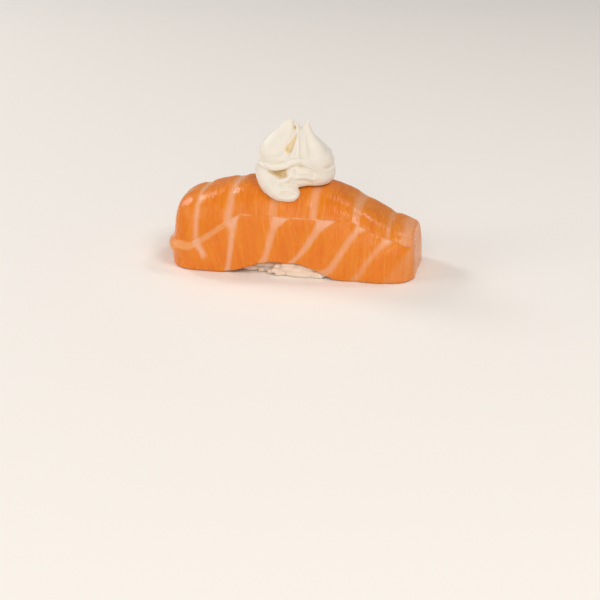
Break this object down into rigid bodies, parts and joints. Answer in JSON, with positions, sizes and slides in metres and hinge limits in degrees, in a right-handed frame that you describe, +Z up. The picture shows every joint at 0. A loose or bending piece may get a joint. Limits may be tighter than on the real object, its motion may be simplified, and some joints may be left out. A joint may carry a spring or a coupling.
{
  "type": "salmon nigiri",
  "caption": "Salmon nigiri: a thick slice of raw salmon over pressed rice, topped with a piped rosette of cream cheese.",
  "frame": {"origin": "Middle of the flat underside of the rice, on the plate", "axes": "+X along the length to the low end of the slice, -Y to the side where the slice hangs down to the plate, +Z up"},
  "size_m": [0.0819, 0.0324, 0.0486],
  "materials": {
    "rice": "moist cooked rice",
    "salmon": "wet raw fish with white lines of fat",
    "cream_cheese": "smooth piped cream cheese"
  },
  "bodies": {
    "root": {"rice": "rice", "salmon_slice": "salmon", "cream_rosette": "cream_cheese"}
  },
  "joints": []
}
